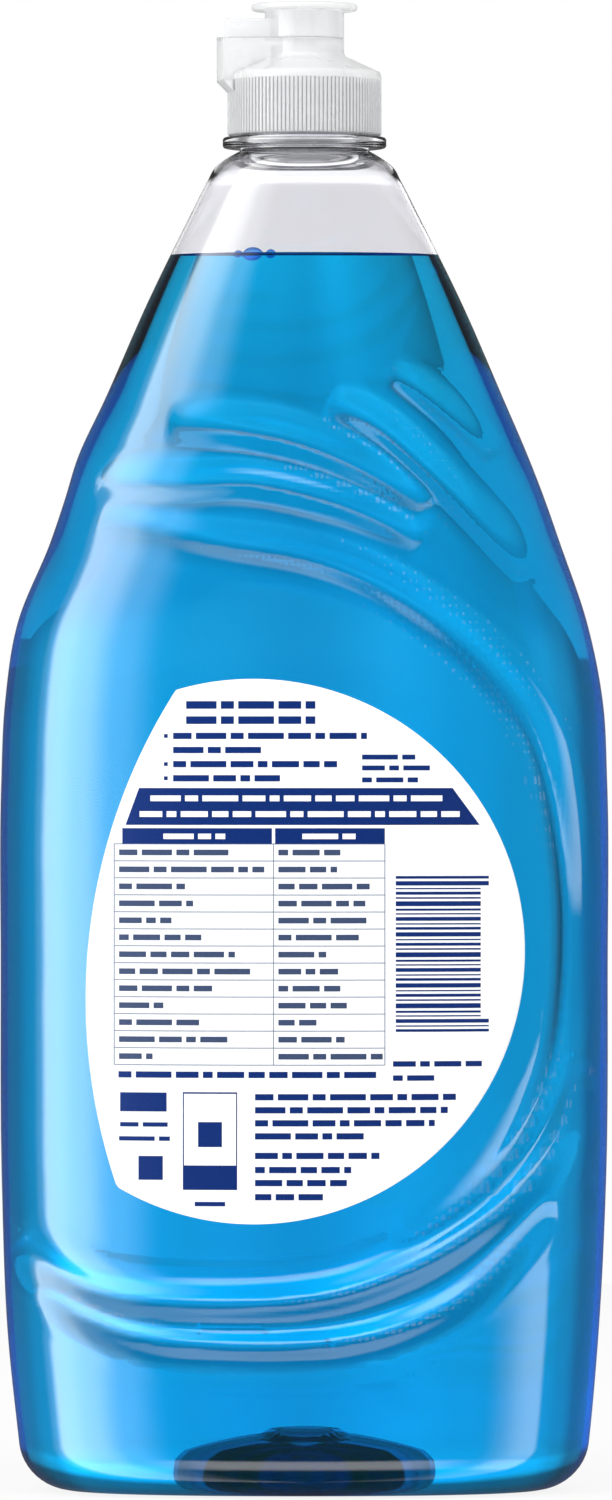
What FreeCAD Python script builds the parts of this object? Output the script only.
# Dish soap bottle: a blown clear bottle with swept grooves, the liquid in it, a wrap label on one face,
# and a screw cap with a flip lid on a film hinge. Millimetres, +Z up, origin under the middle of the base.
# The labelled face looks towards -Y and the lid opens towards -X.
import FreeCAD, Part
import math
import os

Vector = FreeCAD.Vector

# Bottle body, each station as height, reach to the left, reach to the right, half depth and squareness.
# Squareness 0.784 is an ellipse, and more is boxier.
BODY_STATIONS = [
    (0.0, 52.4, 52.1, 30.4, 0.85),
    (9.0, 53.4, 53.2, 31.2, 0.86),
    (28.0, 55.4, 54.9, 32.2, 0.86),
    (58.0, 56.6, 56.4, 32.7, 0.86),
    (98.0, 56.8, 56.9, 32.8, 0.86),
    (132.0, 56.7, 56.8, 32.5, 0.86),
    (147.0, 56.0, 55.8, 32.2, 0.86),
    (162.0, 53.6, 52.8, 31.3, 0.86),
    (177.0, 47.5, 47.7, 29.3, 0.85),
    (185.0, 44.8, 44.9, 27.8, 0.85),
    (192.5, 42.5, 42.0, 26.3, 0.84),
    (203.5, 37.4, 37.3, 23.8, 0.83),
    (222.5, 29.0, 29.0, 19.6, 0.81),
    (238.0, 21.4, 21.3, 16.7, 0.795),
    (244.5, 18.1, 18.0, 15.4, 0.79),
    (247.2, 16.5, 16.4, 14.6, 0.785),
    (248.7, 14.5, 14.4, 13.7, 0.784),
    (249.8, 12.6, 12.6, 12.4, 0.784),
]
WALL = 0.7
BASE_WALL = 1.0
HEEL_R = 8.5

# Push-up in the base: the half width and half depth of its rim, its height, and the gate mark on top.
PUNT_HALF_WIDTH = 35.0
PUNT_HALF_DEPTH = 16.0
PUNT_HEIGHT = 11.0
GATE_R = 6.5
GATE_HEIGHT = 0.8

# Neck and its transfer bead, upwards from the top of the body.
NECK_R = 11.9
NECK_BORE_R = 10.4
NECK_BELOW_BEAD = 0.8
BEAD_R = 15.3
BEAD_THICK = 2.0
BEAD_EDGE_R = 0.5
NECK_ABOVE_BEAD = 10.0
THROAT_LENGTH = 11.8
THROAT_NARROWER = 0.4
NECK_OVERRUN = 1.0
BORE_OVERRUN = 3.0

# Liquid, down from the top of the body.
HEAD_SPACE = 19.4
LIQUID_GAP = 0.15

# Label: a disc cut off on the left by a wide arc.
LABEL_R = 50.2
LABEL_CENTRE = (-9.5, 101.0)
LABEL_TOP_CORNER_DEG = 106.4
LABEL_FOOT_CORNER_DEG = 240.0
LABEL_LEFT_POINT = (-40.4, 94.0)
LABEL_THICK = 0.12
LABEL_GAP = 0.12

# Grooves in the labelled face: width, depth, and the points that the line passes, as x and height.
GROOVES = {
    "panel_edge": (7.0, 1.1, [
        (-37.0, 181.0), (-16.0, 176.6), (1.0, 173.6), (14.5, 168.4), (27.4, 160.0), (37.0, 150.6),
        (43.6, 140.6), (47.9, 125.0), (49.8, 106.5), (48.4, 86.0), (44.3, 73.8), (37.5, 62.6),
        (28.5, 54.0), (17.0, 46.4),
    ]),
    "lower_upper": (8.0, 1.5, [
        (51.8, 80.0), (47.2, 66.0), (39.2, 55.6), (30.0, 48.2), (19.4, 42.4), (5.0, 37.6),
        (-13.0, 36.0), (-34.5, 37.0), (-46.0, 41.2), (-53.0, 47.0),
    ]),
    "lower_lower": (7.0, 1.1, [
        (45.5, 54.0), (32.3, 39.4), (19.4, 32.2), (5.0, 28.8), (-13.0, 28.2), (-30.0, 29.6),
        (-41.0, 33.4), (-48.5, 38.8),
    ]),
    "shoulder_left": (8.0, 1.1, [
        (-39.0, 187.5), (-24.0, 187.4), (-10.0, 187.6), (4.0, 184.6), (14.0, 180.8), (22.0, 176.4),
    ]),
    "shoulder_middle": (9.0, 1.2, [
        (-25.0, 198.6), (-12.0, 197.4), (0.0, 194.8), (11.0, 190.2), (23.0, 183.2),
    ]),
    "shoulder_right": (7.0, 1.2, [
        (5.0, 202.6), (14.4, 197.8), (24.0, 189.4), (33.0, 180.4), (41.5, 171.0),
    ]),
    "shoulder_top": (5.0, 0.9, [(16.0, 208.4), (22.5, 204.4), (29.0, 199.0), (35.0, 192.4)]),
}
GROOVE_LIFT = 0.25

# Cap: skirt with grip ribs, shallow cone, spout collar and nozzle, upwards from the lip of the neck.
CAP_BEAD_GAP = 0.4
THREAD_ROOM = 1.1
SKIRT_ABOVE_LAND = 0.95
RIB_COUNT = 114
RIB_DEPTH = 0.3
RIB_SHORT = 0.5
SKIRT_WALL = 1.1
SHOULDER_INSET = 0.3
SHOULDER_HEIGHT = 1.0
CONE_HEIGHT = 2.8
COLLAR_R = 7.4
COLLAR_HEIGHT = 3.4
CAP_WALL = 1.1
LIP_GAP = 0.25
PLUG_SEAL_GAP = 0.12
PLUG_SEAL_WALL = 0.8
PLUG_SEAL_DEPTH = 2.4
DECK_THICK = 1.2
NOZZLE_R = 3.6
NOZZLE_RISE = 1.3
ORIFICE_R = 2.2

# Hinge tower behind the spout, a hollow box with an arched back, and the web across it.
TOWER_PROUD = 2.0
TOWER_HALF_WIDTH = 6.2
TOWER_BELOW_SHOULDER = 0.8
TOWER_TAPER = 2.4
TOWER_WALL = 1.2
WEB_REACH = 11.4
WEB_THICK = 0.8

# Flip lid: flanged disc, skirt, plug, hinge arm and film.
PARTING_GAP = 0.1
LID_HEIGHT = 6.5
LID_WALL = 0.9
FLANGE_PROUD = 2.5
FLANGE_THICK = 1.3
FLANGE_EDGE_R = 0.55
ARM_SHORT = 1.6
ARM_NARROWER = 0.6
ARM_HEIGHT = 3.5
ARM_WALL = 0.6
ARM_TOP = 0.5
FILM_THICK = 0.3
FILM_EDGE_GAP = 0.05
PLUG_GAP = 0.3
PLUG_TIP_R = 1.5
PLUG_BELOW = 0.4

BODY_TOP_Z = BODY_STATIONS[-1][0]
BODY_TOP_R = BODY_STATIONS[-1][1]
THROAT_START_Z = BODY_TOP_Z - THROAT_LENGTH
FILL_Z = BODY_TOP_Z - HEAD_SPACE
BEAD_BOTTOM_Z = BODY_TOP_Z + NECK_BELOW_BEAD
BEAD_TOP_Z = BEAD_BOTTOM_Z + BEAD_THICK
NECK_LIP_Z = BEAD_TOP_Z + NECK_ABOVE_BEAD
LAND_Z = NECK_LIP_Z + LIP_GAP
SKIRT_FOOT_Z = BEAD_TOP_Z + CAP_BEAD_GAP
SKIRT_TOP_Z = LAND_Z + SKIRT_ABOVE_LAND
SKIRT_BORE_R = NECK_R + THREAD_ROOM
SKIRT_R = SKIRT_BORE_R + SKIRT_WALL + RIB_DEPTH
CONE_FOOT_R = SKIRT_R - SHOULDER_INSET
CONE_FOOT_Z = SKIRT_TOP_Z + SHOULDER_HEIGHT
CONE_TOP_Z = CONE_FOOT_Z + CONE_HEIGHT
PARTING_Z = CONE_TOP_Z + COLLAR_HEIGHT
TOWER_R = SKIRT_R + TOWER_PROUD
TOWER_FOOT_Z = SKIRT_TOP_Z - TOWER_BELOW_SHOULDER
TOWER_TAPER_Z = TOWER_FOOT_Z - TOWER_TAPER
HINGE_X = -(TOWER_R + FILM_EDGE_GAP)
FLANGE_R = COLLAR_R + FLANGE_PROUD
ARM_REACH = TOWER_R - ARM_SHORT
ARM_HALF_WIDTH = TOWER_HALF_WIDTH - ARM_NARROWER
LID_FOOT_Z = PARTING_Z + PARTING_GAP / 2
CAP_DECK_Z = PARTING_Z - PARTING_GAP / 2
LID_TOP_Z = LID_FOOT_Z + LID_HEIGHT
SPAN = 2 * NECK_LIP_Z


def smooth_step(value, start, end):
    """0 below start, 1 above end, and a smooth rise between them."""
    share = min(max((value - start) / (end - start), 0.0), 1.0)
    return share * share * (3 - 2 * share)


def oval_wire(z, left, right, half_depth, squareness):
    """Closed smooth oval from eight poles, whose far points lie at the given reaches."""
    middle = (right - left) / 2
    half_width = (right + left) / 2
    end_share = (6 - 2 * squareness) / 4
    poles = []
    for cos_sign, sin_sign in [(1, 0), (1, 1), (0, 1), (-1, 1), (-1, 0), (-1, -1), (0, -1), (1, -1)]:
        share = squareness if cos_sign and sin_sign else end_share
        poles.append(Vector(middle + cos_sign * share * half_width, sin_sign * share * half_depth, z))
    curve = Part.BSplineCurve()
    curve.buildFromPolesMultsKnots(poles, [1] * 9, list(range(9)), True, 3)
    return Part.Wire([Part.Edge(curve)])


def body_form(inset, throat_wall):
    """Body shape moved inwards by inset, and by throat_wall where it meets the neck."""
    wires = []
    for z, left, right, half_depth, squareness in BODY_STATIONS:
        step = inset + (throat_wall - inset) * smooth_step(z, THROAT_START_Z, BODY_TOP_Z)
        wires.append(oval_wire(z, left - step, right - step, half_depth - step, squareness))
    return Part.makeLoft(wires, True, False, False, 3)


def round_heel(form, floor_z, radius):
    """Cuts the form flat at floor_z and rounds the edge that it stands on."""
    if floor_z > 0:
        form = form.cut(Part.makeBox(SPAN, SPAN, floor_z, Vector(-SPAN / 2, -SPAN / 2, 0)))
    heel = [edge for edge in form.Edges if edge.BoundBox.ZMax < floor_z + 0.01]
    return form.makeFillet(radius, heel)


def punt_form(grow):
    """Push-up of the base as a squashed ball cap, made thicker by grow."""
    height = PUNT_HEIGHT + grow
    half_width = PUNT_HALF_WIDTH + grow
    ball_r = (half_width ** 2 + height ** 2) / (2 * height)
    ball = Part.makeSphere(ball_r, Vector(0, 0, height - ball_r))
    squash = FreeCAD.Matrix()
    squash.scale(1.0, (PUNT_HALF_DEPTH + grow) / half_width, 1.0)
    gate = Part.makeCylinder(GATE_R + grow, height + GATE_HEIGHT)
    return ball.transformGeometry(squash).fuse(gate)


def surface_point(face, x, z):
    """Point of the labelled face at x and z, and the direction straight out of it."""
    ray = Part.Edge(Part.LineSegment(Vector(x, -SPAN, z), Vector(x, 0, z)))
    point = ray.distToShape(face)[1][0][1]
    out = face.normalAt(*face.Surface.parameter(point))
    if out.y > 0:
        out = out.negative()
    return point, out


def groove_spine(face, width, depth, points):
    """Tool radius and centre line of one groove, which fades out at both ends."""
    radius = (width ** 2 / 4 + depth ** 2) / (2 * depth)
    centres = []
    for index, (x, z) in enumerate(points):
        fade = abs(math.sin(math.pi * index / (len(points) - 1))) ** 0.5
        point, out = surface_point(face, x, z)
        centres.append(point + out * (radius + GROOVE_LIFT - (depth + GROOVE_LIFT) * fade))
    curve = Part.BSplineCurve()
    curve.interpolate(centres)
    return radius, curve


def groove_tools(spines, grow):
    """Round bars along the groove lines, made thicker by grow for the surfaces inside the wall."""
    tools = []
    for radius, curve in spines:
        start = curve.value(curve.FirstParameter)
        along = curve.tangent(curve.FirstParameter)[0]
        ring = Part.Wire([Part.Edge(Part.Circle(start, along, radius + grow))])
        tools.append(Part.Wire([Part.Edge(curve)]).makePipeShell([ring], True, False))
    return tools


def revolve(outline):
    """Solid of revolution about Z from (radius, height) corners."""
    corners = [Vector(r, 0, z) for r, z in outline]
    face = Part.Face(Part.makePolygon(corners + corners[:1]))
    return face.revolve(Vector(0, 0, 0), Vector(0, 0, 1), 360)


def vessel(grow, floor_z, throat_wall, spines):
    """Body shape at grow inside the outer surface, with heel, push-up and grooves."""
    form = round_heel(body_form(grow, throat_wall), floor_z, HEEL_R - grow)
    for tool in [punt_form(floor_z)] + groove_tools(spines, grow):
        form = form.cut(tool)
    return form


def hollowed(outer, cavity):
    """Outer solid with the cavity as a closed void inside it, for a cavity that touches no outer wall."""
    walls = [outer.Solids[0].Shells[0], cavity.Solids[0].Shells[0].reversed()]
    return Part.makeSolid(Part.makeCompound(walls))


def throat_inset():
    """Wall where the body meets the neck, with the throat a little narrower than the bore that cuts it."""
    return BODY_TOP_R - NECK_BORE_R + THROAT_NARROWER


def make_bottle(spines):
    neck_foot_z = BODY_TOP_Z - NECK_OVERRUN
    bore_foot_z = BODY_TOP_Z - BORE_OVERRUN
    outer = vessel(0.0, 0.0, 0.0, spines)
    neck = Part.makeCylinder(NECK_R, NECK_LIP_Z - neck_foot_z, Vector(0, 0, neck_foot_z))
    bead = Part.makeCylinder(BEAD_R, BEAD_THICK, Vector(0, 0, BEAD_BOTTOM_Z))
    bead = bead.makeFillet(BEAD_EDGE_R, [edge for edge in bead.Edges if edge.Closed])
    outer = outer.fuse([neck, bead])
    cavity = vessel(WALL, BASE_WALL, throat_inset(), spines)
    bore = Part.makeCylinder(NECK_BORE_R, NECK_LIP_Z - bore_foot_z, Vector(0, 0, bore_foot_z))
    return hollowed(outer, cavity).cut(bore)


def make_liquid(spines):
    form = vessel(WALL + LIQUID_GAP, BASE_WALL + LIQUID_GAP, throat_inset() + LIQUID_GAP, spines)
    return form.cut(Part.makeBox(SPAN, SPAN, SPAN, Vector(-SPAN / 2, -SPAN / 2, FILL_Z)))


def make_label(body):
    """Film at its gap from the face, and nowhere inside the body shape itself."""
    centre = Vector(LABEL_CENTRE[0], 0, LABEL_CENTRE[1])

    def on_disc(angle_deg):
        angle = math.radians(angle_deg)
        return centre + Vector(LABEL_R * math.cos(angle), 0, LABEL_R * math.sin(angle))

    top = on_disc(LABEL_TOP_CORNER_DEG)
    foot = on_disc(LABEL_FOOT_CORNER_DEG)
    left = Vector(LABEL_LEFT_POINT[0], 0, LABEL_LEFT_POINT[1])
    edges = [Part.Arc(top, on_disc(0), foot).toShape(), Part.Arc(foot, left, top).toShape()]
    prism = Part.Face(Part.Wire(edges)).extrude(Vector(0, -SPAN, 0))
    near = body_form(-LABEL_GAP, -LABEL_GAP)
    far = body_form(-LABEL_GAP - LABEL_THICK, -LABEL_GAP - LABEL_THICK)
    return prism.common(far).cut(near).cut(body)


def ribbed_disc(z, height):
    """Round bar whose side carries the grip ribs, drawn as one toothed outline."""
    step = 2 * math.pi / RIB_COUNT
    corners = []
    for rib in range(RIB_COUNT):
        for share, radius in [(0.0, SKIRT_R - RIB_DEPTH), (0.3, SKIRT_R), (0.7, SKIRT_R)]:
            angle = (rib + share) * step
            corners.append(Vector(radius * math.cos(angle), radius * math.sin(angle), z))
    return Part.Face(Part.makePolygon(corners + corners[:1])).extrude(Vector(0, 0, height))


def hinge_tower():
    """Hollow upstand on the skirt that carries the film hinge, open at the parting line."""
    outline = [(0, TOWER_TAPER_Z), (SKIRT_R - RIB_DEPTH, TOWER_TAPER_Z), (TOWER_R, TOWER_FOOT_Z)]
    block = revolve(outline + [(TOWER_R, CAP_DECK_Z), (0, CAP_DECK_Z)])
    height = CAP_DECK_Z - TOWER_TAPER_Z
    block = block.common(Part.makeBox(
        TOWER_R - COLLAR_R + CAP_WALL / 2, 2 * TOWER_HALF_WIDTH, height,
        Vector(-TOWER_R, -TOWER_HALF_WIDTH, TOWER_TAPER_Z)))
    pocket_half_width = TOWER_HALF_WIDTH - TOWER_WALL
    pocket = Part.makeCylinder(TOWER_R - TOWER_WALL, height, Vector(0, 0, TOWER_FOOT_Z))
    pocket = pocket.common(Part.makeBox(
        TOWER_R, 2 * pocket_half_width, height,
        Vector(-TOWER_R, -pocket_half_width, TOWER_FOOT_Z)))
    web = Part.makeBox(
        WEB_THICK, 2 * TOWER_HALF_WIDTH, SPAN, Vector(-WEB_REACH, -TOWER_HALF_WIDTH, TOWER_TAPER_Z))
    return block.cut(pocket.cut(web))


def make_cap():
    body = revolve([
        (0, SKIRT_TOP_Z), (SKIRT_R, SKIRT_TOP_Z), (CONE_FOOT_R, CONE_FOOT_Z),
        (COLLAR_R, CONE_TOP_Z), (COLLAR_R, CAP_DECK_Z), (NOZZLE_R, CAP_DECK_Z),
        (NOZZLE_R, CAP_DECK_Z + NOZZLE_RISE), (0, CAP_DECK_Z + NOZZLE_RISE)])
    rib_top_z = SKIRT_TOP_Z - RIB_SHORT
    rim = Part.makeCylinder(SKIRT_R, RIB_SHORT, Vector(0, 0, rib_top_z))
    body = body.fuse([ribbed_disc(SKIRT_FOOT_Z, rib_top_z - SKIRT_FOOT_Z), rim, hinge_tower()])
    seal_r = NECK_BORE_R - PLUG_SEAL_GAP
    throat_r = seal_r - PLUG_SEAL_WALL
    bore_r = COLLAR_R - CAP_WALL
    hollow = revolve([
        (0, BEAD_BOTTOM_Z), (SKIRT_BORE_R, BEAD_BOTTOM_Z), (SKIRT_BORE_R, LAND_Z), (seal_r, LAND_Z),
        (seal_r, NECK_LIP_Z - PLUG_SEAL_DEPTH), (throat_r, NECK_LIP_Z - PLUG_SEAL_DEPTH),
        (throat_r, LAND_Z + CAP_WALL), (bore_r, CONE_TOP_Z - CAP_WALL), (bore_r, CAP_DECK_Z - DECK_THICK),
        (ORIFICE_R, CAP_DECK_Z - DECK_THICK), (ORIFICE_R, LID_TOP_Z), (0, LID_TOP_Z)])
    return body.cut(hollow)


def make_lid():
    disc = Part.makeCylinder(FLANGE_R, FLANGE_THICK, Vector(0, 0, LID_TOP_Z - FLANGE_THICK))
    disc = disc.makeFillet(FLANGE_EDGE_R, [edge for edge in disc.Edges if edge.Closed])
    skirt = Part.makeCylinder(COLLAR_R, LID_HEIGHT - FLANGE_THICK / 2, Vector(0, 0, LID_FOOT_Z))
    arm_width = 2 * ARM_HALF_WIDTH
    arm = Part.makeBox(ARM_REACH, arm_width, ARM_HEIGHT, Vector(-ARM_REACH, -ARM_HALF_WIDTH, LID_FOOT_Z))
    pocket = Part.makeBox(
        ARM_REACH - ARM_WALL, arm_width - 2 * ARM_WALL, ARM_HEIGHT - ARM_TOP,
        Vector(ARM_WALL - ARM_REACH, ARM_WALL - ARM_HALF_WIDTH, LID_FOOT_Z))
    web = Part.makeBox(
        WEB_THICK, arm_width, ARM_HEIGHT, Vector(-WEB_REACH, -ARM_HALF_WIDTH, LID_FOOT_Z))
    film_length = -HINGE_X - ARM_REACH + ARM_WALL
    film = Part.makeBox(film_length, arm_width, FILM_THICK, Vector(HINGE_X, -ARM_HALF_WIDTH, LID_FOOT_Z))
    shell = skirt.fuse([disc, arm.cut(pocket.cut(web)), film])
    hollow = Part.makeCylinder(
        COLLAR_R - LID_WALL, LID_HEIGHT - FLANGE_THICK, Vector(0, 0, LID_FOOT_Z))
    plug_foot_z = PARTING_Z - PLUG_BELOW
    plug = Part.makeCone(
        PLUG_TIP_R, ORIFICE_R - PLUG_GAP, LID_TOP_Z - FLANGE_THICK / 2 - plug_foot_z,
        Vector(0, 0, plug_foot_z))
    return shell.cut(hollow).fuse(plug)


def main():
    nominal = body_form(0.0, 0.0)
    face = max(nominal.Faces, key=lambda candidate: candidate.Area)
    spines = [groove_spine(face, width, depth, points) for width, depth, points in GROOVES.values()]
    shapes = {
        "bottle": make_bottle(spines),
        "liquid": make_liquid(spines),
        "back_label": make_label(nominal),
        "cap": make_cap(),
        "flip_lid": make_lid(),
    }
    os.makedirs("parts", exist_ok=True)
    for name, shape in shapes.items():
        solid = shape.removeSplitter()
        solid.exportStep("parts/" + name + ".step")
        box = solid.BoundBox
        print(name, "solids", len(solid.Solids), "valid", solid.isValid(), "cm3", round(solid.Volume / 1000, 2))
        print("  x", round(box.XMin, 2), round(box.XMax, 2), "y", round(box.YMin, 2), round(box.YMax, 2),
              "z", round(box.ZMin, 2), round(box.ZMax, 2))


main()
